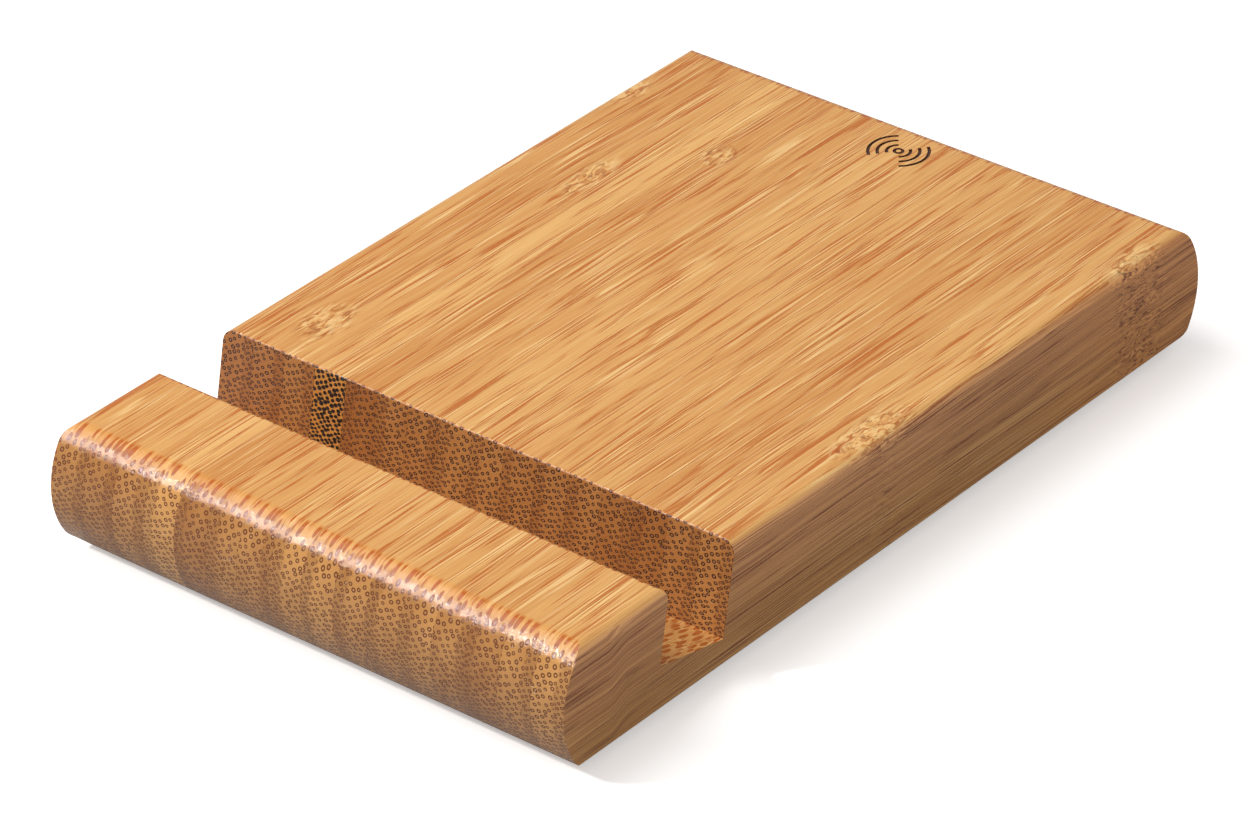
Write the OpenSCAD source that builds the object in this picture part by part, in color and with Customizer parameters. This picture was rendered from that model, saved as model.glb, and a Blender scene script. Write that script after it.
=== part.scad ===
// Wireless charging pad and phone stand in laminated bamboo.
// Millimetres, +Z up, +Y to the back. The origin is on the surface that the
// feet stand on, under the middle of the block.

/* [Block] */
// Width of the bamboo block
block_w = 80; // [66:1:110]
// Length of the block from front to back
block_l = 126; // [105:1:170]
// Thickness of the block
block_h = 16.5; // [13.5:0.25:22]
// Radius of the two long top edges
side_top_r = 1.7; // [0.5:0.1:3]
// Radius of the two long bottom edges
side_bottom_r = 1.8; // [0.5:0.1:1.8]

/* [End faces] */
// Radius of the gently bulging front and back faces
end_face_r = 12; // [11.5:0.5:30]
// Radius of the edge between top and front face
front_top_r = 4; // [1:0.1:5]
// Radius of the edge between top and back face
back_top_r = 2.4; // [1:0.1:5]
// Radius of the edges between underside and end faces
end_bottom_r = 4; // [1:0.1:5]

/* [Phone slot] */
// Width of the slot, measured square to its walls
slot_w = 12; // [9:0.5:16]
// Depth of the slot, measured along its walls
slot_d = 12.3; // [8:0.1:12.5]
// How far the slot's walls lean back from upright, in degrees
slot_lean = 11.5; // [5:0.5:18]
// Distance from the front end of the block to the top of the slot's back wall
slot_back = 31.6; // [28:0.1:36]
// Radius of the slot's edge on the front bar
bar_edge_r = 0.8; // [0.3:0.1:2]
// Radius of the slot's edge on the charging face
slot_edge_r = 0.3; // [0.2:0.1:1]

/* [Engraved symbol] */
// Distance from the back end of the block to the symbol's centre
symbol_back = 8.7; // [7:0.1:20]
// Sideways place of the symbol
symbol_x = -0.9; // [-5:0.1:5]
// Middle radius of the small ring
ring_r = 0.55; // [0.4:0.05:1]
// Middle radius of the first arc
arc_r = 1.55; // [1.2:0.05:2.5]
// Step in radius from one arc to the next
arc_step = 1.2; // [0.8:0.05:2]
// Angle that each arc spans, in degrees
arc_span = 106; // [60:1:140]
// Number of arcs on each side
arc_count = 3; // [1:1:4]
// Width of the engraved line
line_w = 0.45; // [0.2:0.05:0.6]
// Depth of the engraving
line_d = 0.2; // [0.1:0.05:0.5]

/* [Pocket] */
// Wood left between the pocket and the charging face
roof_t = 2.8; // [2:0.1:4]
// Wood between the pocket and the back end of the block
back_wall = 10.5; // [9.5:0.5:14]
// Distance from the top of the slot's back wall to the pocket
slot_web = 3; // [2:0.5:6]
// Clearance round the coil shield in the pocket
pocket_gap = 1; // [0.5:0.1:3]
// Radius of the screw lands in the corners of the pocket
land_r = 5; // [4:0.1:6]

/* [Base cover] */
// Thickness of the base cover
cover_t = 2; // [1.5:0.1:3]
// How deep the cover lies below the block's underside
cover_sunk = 0.2; // [0:0.1:0.5]
// Width of the ledge that the cover lies on
cover_ledge = 4.5; // [3.5:0.1:5]
// Gap between the cover's edge and the block
cover_gap = 0.2; // [0.1:0.05:0.5]
// Radius of the cover's corners
cover_corner_r = 5; // [2:0.5:8]
// Outer radius of the posts under the circuit board
post_r = 2.5; // [2.2:0.1:3]

/* [Feet] */
// Radius of a foot
foot_r = 4; // [3:0.25:4.25]
// Height of a foot
foot_h = 1.6; // [1.2:0.1:3]
// How far the feet hold the block off the table
rest_gap = 1; // [0.5:0.1:1.5]
// Distance from a front foot's centre to the side of the block
foot_side = 14; // [10:0.5:18]
// Distance from a front foot's centre to the front end of the block
foot_end = 13.5; // [12:0.5:16]
// Clearance round a foot in its recess
foot_gap = 0.15; // [0.05:0.05:0.5]

/* [Circuit board] */
// Width of the circuit board
board_w = 40; // [38:1:41]
// Length of the circuit board
board_l = 30; // [28:1:32]
// Thickness of the circuit board
board_t = 1.6; // [0.8:0.1:1.6]
// Gap between the board's back edge and the pocket's wall
board_gap = 0.5; // [0.3:0.1:1]
// Distance from a board screw to the board's side and end
board_screw_in = 3; // [2.5:0.1:3.5]
// Width of the tab that carries the socket into the wall
tab_w = 10; // [9.5:0.1:10.5]

/* [Power inlet] */
// Width of the socket's steel shell
socket_w = 8.94; // [8.8:0.01:9.1]
// Height of the socket's steel shell
socket_h = 3.26; // [3.1:0.01:3.4]
// Length of the socket's steel shell
socket_l = 7.3; // [6.5:0.1:8]
// Thickness of the shell's steel
socket_t = 0.3; // [0.2:0.05:0.35]
// Distance from the block's back end to the socket's mouth
socket_in = 6.5; // [6:0.1:7]
// Width of the clear opening round the plug
inlet_w = 13; // [12.4:0.1:14]
// Height of the clear opening round the plug
inlet_h = 7.2; // [6.6:0.1:7.4]
// Wall of the inlet frame
frame_t = 0.8; // [0.6:0.1:1]
// Clearance between parts that slide together once
fit_gap = 0.05; // [0.02:0.01:0.1]

/* [Status light] */
// Radius of the light pipe
pipe_r = 1.45; // [1:0.05:1.5]
// Sideways place of the light pipe
pipe_x = 11.5; // [11:0.1:12]

/* [Charging coil] */
// Room between the coil's shield and the pocket's rear wall
coil_room = 7; // [7:0.1:8.5]
// Radius of the litz wire in the coil
wire_r = 0.6; // [0.4:0.05:0.65]
// Inner radius of the coil
coil_in_r = 10.2; // [9:0.1:12]
// Turns in the coil
coil_turns = 10; // [6:1:11]
// Radius of the ferrite shield
shield_r = 25; // [24:0.5:25]
// Thickness of the ferrite shield
shield_t = 1; // [0.6:0.1:1]
// Thickness of the adhesive disc over the coil
tape_t = 0.2; // [0.1:0.05:0.3]

/* [Fasteners] */
// Shank radius of the cover screws
cover_screw_r = 1; // [0.8:0.05:1.2]
// Length of the cover screws
cover_screw_l = 8; // [6:0.5:9]
// Head radius of the cover screws
cover_head_r = 2; // [1.8:0.1:2.2]
// Shank radius of the board screws
board_screw_r = 0.8; // [0.7:0.05:0.9]
// Length of the board screws under the head
board_screw_l = 4.5; // [4:0.25:4.5]
// Head radius of the board screws
board_head_r = 1.6; // [1.4:0.1:1.8]
// Head height of the board screws
board_head_h = 1.1; // [0.8:0.1:1.3]

/* [Hidden] */
$fn = 96;

over = 1;                                  // how far a cutter runs past a face
front_y = -block_l / 2;
back_y = block_l / 2;
top_z = rest_gap + block_h;
port_z = rest_gap + block_h / 2;

// Slot: the walls run up from the foot of the back wall
slot_top_y = front_y + slot_back;
slot_foot_y = slot_top_y - slot_d * sin(slot_lean);

// Pocket
pocket_w = 2 * (shield_r + pocket_gap);
pocket_front = slot_top_y + slot_web;
pocket_rear = back_y - back_wall;
pocket_top = top_z - roof_t;
cover_low = rest_gap + cover_sunk;
cover_top = cover_low + cover_t;
pilot_gap = 0.02;                          // between a screw and its own hole
front_foot_x = block_w / 2 - foot_side;
front_foot_y = front_y + foot_end;

// Board and socket
board_top = port_z - socket_h / 2;
board_low = board_top - board_t;
board_rear = pocket_rear - board_gap;
board_front = board_rear - board_l;
socket_mouth = back_y - socket_in;
frame_end_gap = 0.15;                      // the inlet frame ends just inside the face
frame_web = 1;                             // inner wall of the inlet frame
shell_back_t = 1;                          // closed back of the socket's shell
tongue_w = 6.69;
tongue_h = 0.7;
tongue_l = 4.45;
tongue_root = 1.2;                         // block of plastic that holds the tongue
tongue_base = socket_mouth - socket_l + shell_back_t;

// Coil stack, from the pocket's roof downwards
coil_y = pocket_rear - coil_room - shield_r;
tape_low = pocket_top - tape_t;
coil_low = tape_low - 2 * wire_r;
shield_low = coil_low - shield_t;
wire_pitch = 2 * wire_r - 0.04;
coil_mid_r = coil_in_r + wire_r;
coil_out_r = coil_in_r + 2 * wire_r + (coil_turns - 1) * wire_pitch;
lead_x = 3;
lead_gap = 0.4;                            // between the shield's edge and the leads' bend
lead_end_y = coil_y + shield_r + lead_gap + wire_r;
solder_h = 0.5;
notch_w = 2 * wire_r + 0.4;
probe_hole_r = 1.6;
probe_r = 1.2;
probe_wire_r = 0.22;
probe_wire_x = 0.8;
probe_down = 27;                           // from the board's back edge to the probe wires

bamboo_colour = "#d9a566";
black_plastic = "#26272a";
steel = "#b9bcc0";
gold = "#d6b25a";
copper = "#b8703a";

// ---- shapes used by more than one piece ----

// Rectangle with round corners, centred on the origin
module round_rect(w, l, r) {
    union() {
        square([w - 2 * r, l], center = true);
        square([w, l - 2 * r], center = true);
        for (x = [-1, 1], y = [-1, 1])
            translate([x * (w / 2 - r), y * (l / 2 - r)]) circle(r = r);
    }
}

// Flat-sided opening with half-round ends, centred on the origin
module stadium(w, h) {
    union() {
        square([w - h, h], center = true);
        for (x = [-1, 1]) translate([x * (w - h) / 2, 0]) circle(r = h / 2);
    }
}

// Extrusion along +Y of a shape drawn in X and Z
module along_y(y0, y1) {
    translate([0, y1, 0]) rotate([90, 0, 0]) linear_extrude(y1 - y0) children();
}

// Extrusion across the whole width of a shape drawn in Y and Z
module across_x(w) {
    rotate([90, 0, 90]) linear_extrude(w, center = true) children();
}

// Box given by its lowest corner and its highest corner
module slab(low, high) {
    translate(low) cube(high - low);
}

// Round wire from point to point with a ball at each bend
module wire(points, r) {
    for (i = [0 : len(points) - 2]) {
        step = points[i + 1] - points[i];
        reach = norm(step);
        translate(points[i])
            rotate([0, acos(step[2] / reach), atan2(step[1], step[0])])
                cylinder(r = r, h = reach);
    }
    for (i = [1 : len(points) - 2]) translate(points[i]) sphere(r = r);
}

// Places at the four corners of a rectangle
module at_corners(x, y0, y1) {
    for (sx = [-1, 1], y = [y0, y1]) translate([sx * x, y, 0]) children();
}

// ---- bamboo block ----

// Distance from the middle of the face's arc to the middle of an edge's arc
function edge_reach(r) =
    sqrt(pow(end_face_r - r, 2) - pow(block_h / 2 - r, 2));

// Height above mid-thickness where an edge's arc meets the face's arc
function meet_height(r) = end_face_r * (block_h / 2 - r) / (end_face_r - r);

// One end of the block in length and height, from its mid-length outwards
module end_outline(top_r, bottom_r) {
    face_mid = block_l / 2 - end_face_r;
    half = block_h / 2;
    union() {
        square([face_mid + edge_reach(top_r), half]);
        translate([0, -half]) square([face_mid + edge_reach(bottom_r), half]);
        translate([face_mid + edge_reach(top_r), half - top_r]) circle(r = top_r);
        translate([face_mid + edge_reach(bottom_r), bottom_r - half]) circle(r = bottom_r);
        intersection() {
            translate([face_mid, 0]) circle(r = end_face_r);
            translate([face_mid, -meet_height(bottom_r)])
                square([2 * end_face_r, meet_height(bottom_r) + meet_height(top_r)]);
        }
    }
}

// Side view of the block without its slot
module side_outline() {
    translate([0, port_z]) union() {
        end_outline(back_top_r, end_bottom_r);
        mirror([1, 0]) end_outline(front_top_r, end_bottom_r);
    }
}

// Front view of the block
module front_outline() {
    half = block_w / 2;
    low_z = rest_gap + side_bottom_r;
    high_z = top_z - side_top_r;
    union() {
        translate([-half, low_z]) square([block_w, high_z - low_z]);
        translate([side_top_r - half, port_z])
            square([block_w - 2 * side_top_r, block_h / 2]);
        translate([side_bottom_r - half, rest_gap])
            square([block_w - 2 * side_bottom_r, block_h / 2]);
        for (s = [-1, 1]) {
            translate([s * (half - side_top_r), high_z]) circle(r = side_top_r);
            translate([s * (half - side_bottom_r), low_z]) circle(r = side_bottom_r);
        }
    }
}

// Sliver outside a round edge of radius r, on a corner whose walls leave at the
// angles a0 and a1, with its corner point at the origin
module edge_sliver(r, a0, a1) {
    half_angle = (a1 - a0) / 2;
    reach = r / tan(half_angle);
    mid = (a0 + a1) / 2;
    centre = (r / sin(half_angle)) * [cos(mid), sin(mid)];
    difference() {
        polygon([
            [0, 0],
            reach * [cos(a0), sin(a0)],
            centre,
            reach * [cos(a1), sin(a1)],
        ]);
        translate(centre) circle(r = r);
    }
}

// Slot in length and height, square to its leaning walls
module slot_outline() {
    slot_mouth = slot_w / cos(slot_lean);
    translate([slot_foot_y, top_z - slot_d * cos(slot_lean)]) rotate(-slot_lean)
        translate([-slot_w, 0]) square([slot_w, slot_d + slot_w]);
    translate([slot_top_y, top_z])
        edge_sliver(slot_edge_r, -90 - slot_lean, 0);
    translate([slot_top_y - slot_mouth, top_z])
        edge_sliver(bar_edge_r, -180, -90 - slot_lean);
}

module pocket_outline() {
    mid_y = (pocket_front + pocket_rear) / 2;
    difference() {
        translate([0, mid_y]) square([pocket_w, pocket_rear - pocket_front], center = true);
        at_corners(pocket_w / 2, pocket_front, pocket_rear) circle(r = land_r);
    }
}

// Outline of the cover, or of the rebate it lies in when grown by a gap
module cover_outline(grow) {
    mid_y = (pocket_front + pocket_rear) / 2;
    translate([0, mid_y])
        round_rect(
            pocket_w + 2 * cover_ledge + 2 * grow,
            pocket_rear - pocket_front + 2 * cover_ledge + 2 * grow,
            cover_corner_r + grow
        );
}

// Ring and arcs of the engraved symbol, as cutters from the top face
module symbol() {
    translate([symbol_x, back_y - symbol_back, top_z - line_d]) {
        difference() {
            cylinder(r = ring_r + line_w / 2, h = line_d + over);
            translate([0, 0, -over]) cylinder(r = ring_r - line_w / 2, h = line_d + 3 * over);
        }
        for (side = [0, 180], i = [0 : arc_count - 1])
            rotate([0, 0, side - arc_span / 2]) rotate_extrude(angle = arc_span)
                translate([arc_r + i * arc_step - line_w / 2, 0])
                    square([line_w, line_d + over]);
    }
}

module bamboo_body() {
    color(bamboo_colour) difference() {
        intersection() {
            across_x(block_w + 2 * over) side_outline();
            along_y(front_y - over, back_y + over) front_outline();
        }
        across_x(block_w + 4 * over) slot_outline();
        symbol();
        // pocket and the rebate for the cover
        translate([0, 0, cover_top - over]) linear_extrude(pocket_top - cover_top + over)
            pocket_outline();
        translate([0, 0, rest_gap - over]) linear_extrude(cover_top - rest_gap + over)
            cover_outline(cover_gap);
        // pilot holes for the cover screws
        at_cover_screws() cylinder(r = cover_screw_r + pilot_gap, h = cover_screw_l + over);
        // recesses for the front feet
        for (s = [-1, 1]) translate([s * front_foot_x, front_foot_y, -over])
            cylinder(r = foot_r + foot_gap, h = foot_h + over);
        // power inlet and light pipe through the back wall
        along_y(pocket_rear - over, back_y + over) translate([0, port_z])
            stadium(inlet_w + 2 * (frame_t + fit_gap), inlet_h + 2 * (frame_t + fit_gap));
        along_y(pocket_rear - over, back_y + over) translate([pipe_x, port_z])
            circle(r = pipe_r + fit_gap);
    }
}

// ---- base cover, its screws and the feet ----

// Countersunk screw, head down, with its head's face at z = 0
module countersunk_screw(r, head_r, reach) {
    difference() {
        union() {
            cylinder(r1 = head_r, r2 = r, h = head_r - r);
            cylinder(r = r, h = reach);
        }
        for (a = [0, 90]) rotate([0, 0, a])
            translate([0, 0, 0.2]) cube([head_r * 1.2, 0.5, 1.4], center = true);
    }
}

// Places of the four cover screws: the rear heads lie at the top of the feet
module at_cover_screws() {
    for (s = [-1, 1]) {
        translate([s * pocket_w / 2, pocket_front, cover_low]) children();
        translate([s * pocket_w / 2, pocket_rear, foot_h]) children();
    }
}

// Places of the four board screws
module at_board_screws() {
    at_corners(
        board_w / 2 - board_screw_in,
        board_front + board_screw_in,
        board_rear - board_screw_in
    ) children();
}

module base_cover() {
    color(black_plastic) difference() {
        union() {
            translate([0, 0, cover_low]) linear_extrude(cover_t) cover_outline(0);
            at_board_screws() translate([0, 0, cover_low])
                cylinder(r = post_r, h = board_low - cover_low);
        }
        // countersinks and clearance holes for the cover screws
        at_cover_screws() {
            cylinder(
                r1 = cover_head_r + fit_gap,
                r2 = cover_screw_r + fit_gap,
                h = cover_head_r - cover_screw_r
            );
            translate([0, 0, -over])
                cylinder(r = cover_screw_r + fit_gap, h = cover_t + 2 * over);
        }
        // pilot holes for the board screws
        at_board_screws() translate([0, 0, board_top - board_screw_l - 0.1])
            cylinder(r = board_screw_r + pilot_gap, h = board_screw_l + over);
        // recesses for the rear feet, which hide the rear screws
        for (s = [-1, 1]) translate([s * pocket_w / 2, pocket_rear, -over])
            cylinder(r = foot_r + foot_gap, h = foot_h + over);
    }
}

module base_screws() {
    color(steel) at_cover_screws()
        countersunk_screw(cover_screw_r, cover_head_r, cover_screw_l);
}

// Soft disc with a rounded lower edge
module foot() {
    soft_r = 0.4;
    color("#3a3a3c") rotate_extrude() union() {
        square([foot_r - soft_r, foot_h]);
        translate([0, soft_r]) square([foot_r, foot_h - soft_r]);
        translate([foot_r - soft_r, soft_r]) circle(r = soft_r);
    }
}

module foot_front_left() { translate([-front_foot_x, front_foot_y, 0]) foot(); }
module foot_front_right() { translate([front_foot_x, front_foot_y, 0]) foot(); }
module foot_rear_left() { translate([-pocket_w / 2, pocket_rear, 0]) foot(); }
module foot_rear_right() { translate([pocket_w / 2, pocket_rear, 0]) foot(); }

// ---- power inlet and status light ----

// Plastic frame in the back wall, closed round the socket at its inner end
module port_frame() {
    inner_end = socket_mouth - frame_web / 2;
    color(black_plastic) difference() {
        intersection() {
            along_y(inner_end, back_y + over) translate([0, port_z])
                stadium(inlet_w + 2 * frame_t, inlet_h + 2 * frame_t);
            translate([0, -frame_end_gap, 0]) across_x(block_w) side_outline();
        }
        along_y(inner_end + frame_web, back_y + over) translate([0, port_z])
            stadium(inlet_w, inlet_h);
        along_y(inner_end - over, back_y) translate([0, port_z])
            stadium(socket_w + 4 * fit_gap, socket_h + 4 * fit_gap);
    }
}

module usb_shell() {
    color(steel) difference() {
        along_y(socket_mouth - socket_l, socket_mouth) translate([0, port_z])
            stadium(socket_w, socket_h);
        along_y(tongue_base, socket_mouth + over) translate([0, port_z])
            stadium(socket_w - 2 * socket_t, socket_h - 2 * socket_t);
    }
}

module usb_tongue() {
    root_gap = 2 * fit_gap;
    color("#1d1d1f") union() {
        along_y(tongue_base, tongue_base + tongue_root) translate([0, port_z])
            stadium(socket_w - 2 * socket_t - root_gap, socket_h - 2 * socket_t - root_gap);
        slab(
            [-tongue_w / 2, tongue_base, port_z - tongue_h / 2],
            [tongue_w / 2, tongue_base + tongue_root + tongue_l, port_z + tongue_h / 2]
        );
    }
}

module usb_contacts() {
    contact_t = 0.08;
    contact_w = 0.3;
    contact_pitch = 0.5;
    contact_count = 12;
    color(gold) for (i = [0 : contact_count - 1], face = [-1, 1])
        translate([
            (i - (contact_count - 1) / 2) * contact_pitch,
            tongue_base + tongue_root + tongue_l / 2,
            port_z + face * (tongue_h + contact_t) / 2,
        ]) cube([contact_w, tongue_l - 1, contact_t], center = true);
}

module light_pipe() {
    color("#e8f2f5") along_y(board_rear - 0.1, back_y - frame_end_gap)
        translate([pipe_x, port_z]) circle(r = pipe_r);
}

module status_led() {
    led_w = 3;
    led_deep = 1.2;
    led_front = board_rear - 0.3 - led_deep;
    color("#f2f2ea") union() {
        slab(
            [pipe_x - led_w / 2, led_front, board_top],
            [pipe_x + led_w / 2, led_front + led_deep, port_z + 1]
        );
        translate([pipe_x, led_front + led_deep, port_z]) sphere(r = 0.15);
    }
}

// ---- circuit board and what is soldered on it ----

module circuit_board() {
    tab_end = socket_mouth - 1.1;
    color("#1f5a35") difference() {
        union() {
            slab(
                [-board_w / 2, board_front, board_low],
                [board_w / 2, board_rear, board_top]
            );
            slab([-tab_w / 2, board_rear - over, board_low], [tab_w / 2, tab_end, board_top]);
        }
        at_board_screws() translate([0, 0, board_low - over])
            cylinder(r = board_screw_r + 0.2, h = board_t + 2 * over);
    }
}

module board_screws() {
    color(steel) at_board_screws() translate([0, 0, board_top]) difference() {
        union() {
            cylinder(r = board_head_r, h = board_head_h);
            translate([0, 0, -board_screw_l]) cylinder(r = board_screw_r, h = board_screw_l);
        }
        for (a = [0, 90]) rotate([0, 0, a])
            translate([0, 0, board_head_h]) cube([board_head_r * 1.2, 0.45, 1], center = true);
    }
}

// Part on the board: its middle is at x, and at a distance from the back edge
module on_board(x, from_rear) {
    translate([x, board_rear - from_rear, board_top]) children();
}

module flat_package(w, l, h) {
    translate([-w / 2, -l / 2, 0]) cube([w, l, h]);
}

// Ceramic part with a metal cap at each end, along X
module chip_part(l, w, h) {
    cap = l * 0.2;
    union() {
        translate([0, 0, 0.03]) flat_package(l - cap, w - 0.06, h - 0.06);
        for (s = [-1, 1]) translate([s * (l - cap) / 2, 0, 0]) flat_package(cap, w, h);
    }
}

module controller_chip() {
    color("#232326") on_board(-1, 14) difference() {
        flat_package(5, 5, 0.9);
        translate([-1.8, 1.8, 0.85]) cylinder(r = 0.3, h = over);
    }
}

module regulator_chip() {
    color("#232326") on_board(8, 13) union() {
        translate([0, 0, 0.1]) flat_package(2.9, 1.6, 1);
        for (x = [-0.95, 0.95]) translate([x, -1.1, 0]) flat_package(0.4, 0.8, 0.3);
        translate([0, 1.1, 0]) flat_package(0.4, 0.8, 0.3);
    }
}

module bridge_transistors() {
    color("#2a2a2e") for (d = [13, 20]) on_board(-10, d) flat_package(5, 6, 1);
}

module sense_resistor() {
    color("#1c1c1e") on_board(-10.4, 6.4) chip_part(6.3, 3.1, 0.6);
}

module resonant_capacitors() {
    color("#9b7a57") for (i = [0 : 3]) on_board(-1.5 + 4 * i, 22)
        rotate([0, 0, 90]) chip_part(4.5, 3.2, 2);
}

module input_capacitors() {
    color("#a58560") for (y = [7, 9.4]) on_board(9, y) chip_part(3.2, 1.6, 1.6);
}

module small_passives() {
    color("#55524c") {
        for (i = [0 : 4]) on_board(-4.5 + 2.2 * i, 18) rotate([0, 0, 90])
            chip_part(1.6, 0.8, 0.6);
        for (i = [0 : 2]) on_board(12.5, 12.5 + 2.2 * i) chip_part(1.6, 0.8, 0.6);
    }
}

// ---- coil pack under the roof of the pocket ----

module coil_tape() {
    color("#e9e4d2") translate([0, coil_y, tape_low]) difference() {
        cylinder(r = coil_out_r, h = tape_t);
        translate([0, 0, -over]) cylinder(r = coil_in_r, h = tape_t + 2 * over);
    }
}

module charging_coil() {
    color(copper) translate([0, coil_y, coil_low + wire_r]) rotate_extrude()
        for (i = [0 : coil_turns - 1])
            translate([coil_mid_r + i * wire_pitch, 0]) circle(r = wire_r);
}

module ferrite_shield() {
    color("#4a4a4f") translate([0, coil_y, shield_low]) difference() {
        cylinder(r = shield_r, h = shield_t);
        translate([0, 0, -over]) cylinder(r = probe_hole_r, h = shield_t + 2 * over);
        // notch that lets the inner lead out under the coil
        slab(
            [-lead_x - notch_w / 2, 0, -over],
            [-lead_x + notch_w / 2, shield_r + over, shield_t + over]
        );
    }
}

module coil_lead_outer() {
    mid_z = coil_low + wire_r;
    rim_y = coil_y + sqrt(pow(coil_out_r, 2) - pow(lead_x - wire_r, 2)) + pilot_gap;
    color(copper) wire([
        [lead_x, rim_y, mid_z],
        [lead_x, lead_end_y, mid_z],
        [lead_x, lead_end_y, board_top + solder_h],
    ], wire_r);
}

module coil_lead_inner() {
    low_z = coil_low - wire_r - pilot_gap;
    start_r = coil_in_r - wire_r - pilot_gap;
    start_y = coil_y + sqrt(pow(start_r, 2) - pow(lead_x, 2));
    color(copper) wire([
        [-lead_x, start_y, coil_low + wire_r],
        [-lead_x, start_y, low_z],
        [-lead_x, lead_end_y, low_z],
        [-lead_x, lead_end_y, board_top + solder_h],
    ], wire_r);
}

module lead_solder() {
    color("#c9ccd0") {
        for (s = [-1, 1]) translate([s * lead_x, lead_end_y, board_top])
            cylinder(r1 = 1.2, r2 = 0.8, h = solder_h);
        for (s = [-1, 1])
            translate([s * probe_wire_x, board_rear - probe_down, board_top])
                cylinder(r1 = 0.6, r2 = 0.4, h = solder_h);
    }
}

module temperature_probe() {
    color("#20242c") translate([0, coil_y, shield_low + shield_t])
        sphere(r = probe_r);
}

module probe_leads() {
    run_z = shield_low - 2 * probe_wire_r;
    // the wire starts where its inner side meets the bead
    start = sqrt(pow(probe_r, 2) - pow(probe_wire_x - probe_wire_r, 2)) + 0.01;
    color("#c33b2e") for (s = [-1, 1]) wire([
        [s * probe_wire_x, coil_y, shield_low + shield_t - start],
        [s * probe_wire_x, coil_y, run_z],
        [s * probe_wire_x, board_rear - probe_down, run_z],
        [s * probe_wire_x, board_rear - probe_down, board_top + solder_h],
    ], probe_wire_r);
}

bamboo_body();
base_cover();
base_screws();
foot_front_left();
foot_front_right();
foot_rear_left();
foot_rear_right();
port_frame();
usb_shell();
usb_tongue();
usb_contacts();
light_pipe();
status_led();
circuit_board();
board_screws();
controller_chip();
regulator_chip();
bridge_transistors();
sense_resistor();
resonant_capacitors();
input_capacitors();
small_passives();
charging_coil();
ferrite_shield();
coil_tape();
coil_lead_outer();
coil_lead_inner();
lead_solder();
temperature_probe();
probe_leads();
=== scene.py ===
# %% [markdown]
# # A wireless charging pad milled from laminated bamboo
# The object is one solid block of glued bamboo strips with a charging coil hidden inside it.
# Every piece is already there as exact geometry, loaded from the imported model. So this lesson is
# about finishes: how to describe wood, moulded plastic, plated steel and enamelled copper with
# procedural nodes that follow the real structure of each material.

# %% Load the model
import math
import bpy
import numpy as np
from mathutils import Matrix, Vector


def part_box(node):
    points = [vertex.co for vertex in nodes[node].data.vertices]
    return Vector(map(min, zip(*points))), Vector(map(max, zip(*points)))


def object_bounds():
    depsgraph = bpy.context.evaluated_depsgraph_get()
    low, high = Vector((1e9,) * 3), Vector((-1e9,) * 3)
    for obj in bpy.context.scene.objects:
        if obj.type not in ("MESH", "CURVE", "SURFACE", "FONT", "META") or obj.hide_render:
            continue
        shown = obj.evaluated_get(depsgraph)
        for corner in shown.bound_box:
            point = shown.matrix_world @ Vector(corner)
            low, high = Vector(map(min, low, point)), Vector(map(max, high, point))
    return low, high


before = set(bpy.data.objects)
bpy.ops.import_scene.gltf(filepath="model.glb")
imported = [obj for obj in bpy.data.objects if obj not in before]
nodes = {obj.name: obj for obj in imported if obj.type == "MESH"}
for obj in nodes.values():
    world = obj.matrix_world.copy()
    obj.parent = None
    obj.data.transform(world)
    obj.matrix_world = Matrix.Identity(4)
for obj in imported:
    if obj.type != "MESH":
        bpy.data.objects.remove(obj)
model_low, model_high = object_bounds()
print("pieces:", len(nodes), "size in mm:", [round(1000 * s, 2) for s in model_high - model_low])

# %% [markdown]
# ## The camera
# A product photographer stands well back with a long lens, so parallel edges stay nearly parallel.
# The camera could be aimed with a Track To constraint. Three measured angles and a distance say the
# same thing in one matrix, and nothing can slip later.

# %% Camera
LENS_MM = 183.92
SENSOR_MM = 36.0
AZIMUTH, ELEVATION, ROLL = (math.radians(a) for a in (39.601, 31.632, -1.0101))
CAMERA_PLACE = Vector((0.42723, -0.51918, 0.41983))


def camera_axes(azimuth, elevation, roll):
    """Right, up and back of a camera that looks along +Y at azimuth 0, rolled about its own view."""
    back = np.array([math.sin(azimuth) * math.cos(elevation),
                     -math.cos(azimuth) * math.cos(elevation), math.sin(elevation)])
    right = np.cross(-back, [0, 0, 1])
    right /= np.linalg.norm(right)
    up = np.cross(right, -back)
    c, s = math.cos(roll), math.sin(roll)
    return c * right + s * up, c * up - s * right, back


right, up, back = camera_axes(AZIMUTH, ELEVATION, ROLL)
camera_data = bpy.data.cameras.new("studio_camera")
camera_data.lens, camera_data.sensor_width = LENS_MM, SENSOR_MM
camera_data.sensor_fit = "HORIZONTAL"
camera = bpy.data.objects.new("studio_camera", camera_data)
camera.matrix_world = (Matrix.Translation(CAMERA_PLACE)
                       @ Matrix(np.column_stack([right, up, back]).tolist()).to_4x4())
bpy.context.scene.collection.objects.link(camera)
bpy.context.scene.camera = camera
print("camera distance in m:", round((CAMERA_PLACE - (model_low + model_high) / 2).length, 3))

# %% [markdown]
# ## Studio
# The pad lies on a pale table top in soft light. A broad softbox overhead makes the charging face
# the brightest side and leaves the right side in soft shade. A small one in front on the left is
# there for its reflection, which draws a bright line along the rounded front edge. A third one low
# on the right lights the long side. A light from behind on the right would do that too, but its
# mirror image would run along the right edge as a hard white line. A white room fills the shadows.
# Standard colour keeps pale things pale, which suits an object shown on white.

# %% Floor and lights
FLOOR_HALF = 3.0
ROOM_STRENGTH = 0.37
ROOM_COLOUR = (1.0, 0.985, 0.97, 1)
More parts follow.
